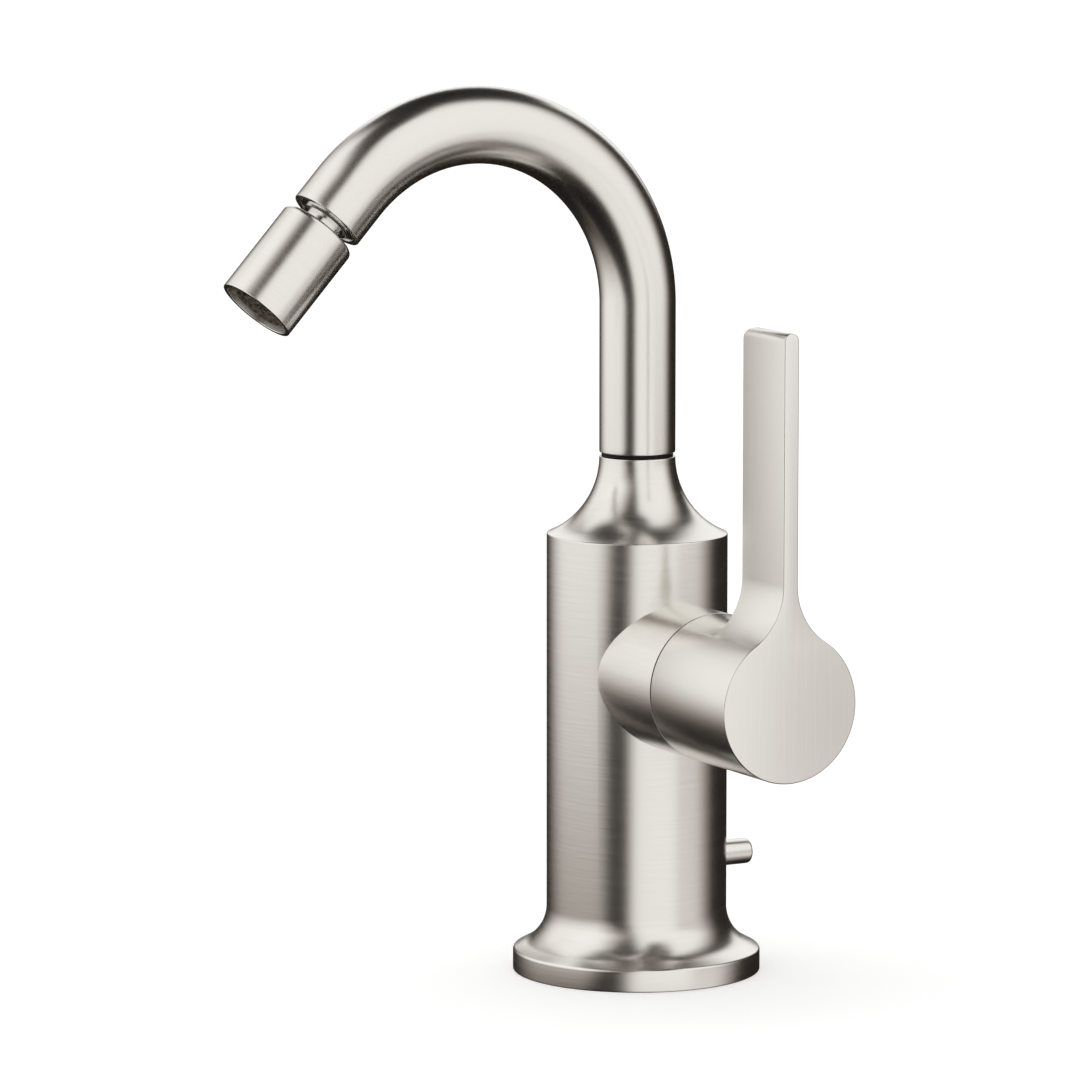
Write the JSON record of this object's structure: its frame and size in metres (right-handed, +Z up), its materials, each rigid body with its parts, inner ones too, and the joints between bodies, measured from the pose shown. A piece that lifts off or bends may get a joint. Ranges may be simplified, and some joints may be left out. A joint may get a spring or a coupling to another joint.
{
  "type": "bidet mixer",
  "caption": "Deck-mounted bidet mixer with a round column on a flanged foot, side lever on a barrel, swivel hook spout, ball-jointed outlet sleeve and a rear lift knob for the waste.",
  "frame": {"origin": "on the column axis in the plane of the deck, at the mouth of the fixing stud's hole", "axes": "+Z up along the column, -Y the way the spout points (to the user), +X along the lever barrel"},
  "size_m": [0.0946, 0.1278, 0.1977],
  "materials": {
    "satin_nickel": "solid brass, brushed and plated in matt nickel",
    "bright_nickel": "turned brass, plated in bright nickel",
    "bare_brass": "turned, unplated",
    "screw_steel": "plain stainless",
    "seal_rubber": "matt black",
    "black_plastic": "moulded",
    "white_plastic": "moulded",
    "ceramic": "ground alumina ceramic"
  },
  "bodies": {
    "mixer_body": {"body_casting": "satin_nickel", "base_gasket": "seal_rubber", "spout_glide_ring": "black_plastic", "spout_stop_screw": "screw_steel", "lift_rod_guide": "white_plastic", "cartridge_base_seal": "seal_rubber", "cartridge_base": "white_plastic", "cartridge_fixed_disc": "ceramic", "cartridge_housing": "white_plastic", "cartridge_nut": "bare_brass"},
    "lever": {"lever_handle": "satin_nickel", "handle_grub_screw": "screw_steel", "cartridge_spindle": "bare_brass", "spindle_o_ring": "seal_rubber", "cartridge_moving_disc": "ceramic"},
    "spout": {"spout_tube": "satin_nickel", "spout_shank": "bare_brass", "shank_o_rings": "seal_rubber", "outlet_ball_nipple": "bright_nickel", "nipple_o_ring": "seal_rubber"},
    "outlet_seats": {"ball_seat_upper": "white_plastic", "ball_seat_lower": "black_plastic"},
    "outlet": {"aerator_sleeve": "satin_nickel", "ball_seat_retainer": "bare_brass", "aerator_washer": "seal_rubber", "aerator_diffuser": "white_plastic", "aerator_cage": "black_plastic", "aerator_screens": "screw_steel"},
    "lift": {"lift_rod": "bare_brass", "lift_knob": "satin_nickel"}
  },
  "joints": [
    {"name": "lever_turn", "type": "hinge", "parent": "mixer_body", "child": "lever", "pos_m": [0.052, 0, 0.0682], "axis": [1, 0, 0], "range_deg": [0, 90]},
    {"name": "spout_swivel", "type": "hinge", "parent": "mixer_body", "child": "spout", "pos_m": [0, 0, 0.1159], "axis": [0, 0, 1], "range_deg": [-60, 60]},
    {"name": "outlet_tilt", "type": "hinge", "parent": "spout", "child": "outlet_seats", "pos_m": [0, -0.08273, 0.16267], "axis": [1, 0, 0], "range_deg": [-10, 10]},
    {"name": "outlet_swing", "type": "hinge", "parent": "outlet_seats", "child": "outlet", "pos_m": [0, -0.08273, 0.16267], "axis": [0, -0.7408, 0.6717], "range_deg": [-10, 10]},
    {"name": "lift_pull", "type": "slide", "parent": "mixer_body", "child": "lift", "axis": [0, 0, 1], "range_m": [0, 0.016]}
  ]
}
